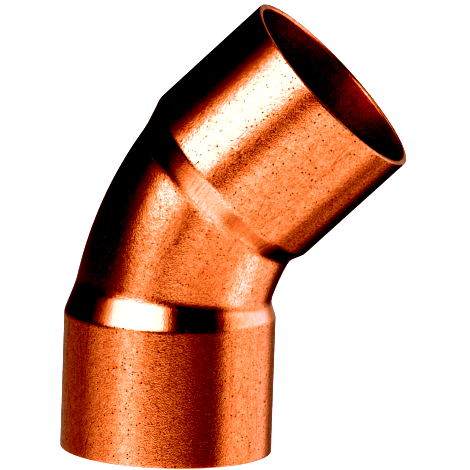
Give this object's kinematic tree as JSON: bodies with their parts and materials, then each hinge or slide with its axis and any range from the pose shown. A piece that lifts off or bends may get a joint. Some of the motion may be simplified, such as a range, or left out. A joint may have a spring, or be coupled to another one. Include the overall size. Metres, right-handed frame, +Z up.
{
  "type": "pipe elbow",
  "caption": "Copper 45 degree pipe elbow with a socket at each end for soldering onto 28 mm tube.",
  "frame": {"origin": "middle of the lower socket's mouth, in the plane of its cut end", "axes": "+Z up the lower socket's axis into the fitting; the upper socket leans 45 degrees from +Z towards +X; the bend lies in the XZ plane, which is the fitting's mirror plane"},
  "size_m": [0.0476, 0.03, 0.0639],
  "materials": {
    "copper": "satin drawn copper"
  },
  "bodies": {
    "root": {"elbow_body": "copper"}
  },
  "joints": []
}
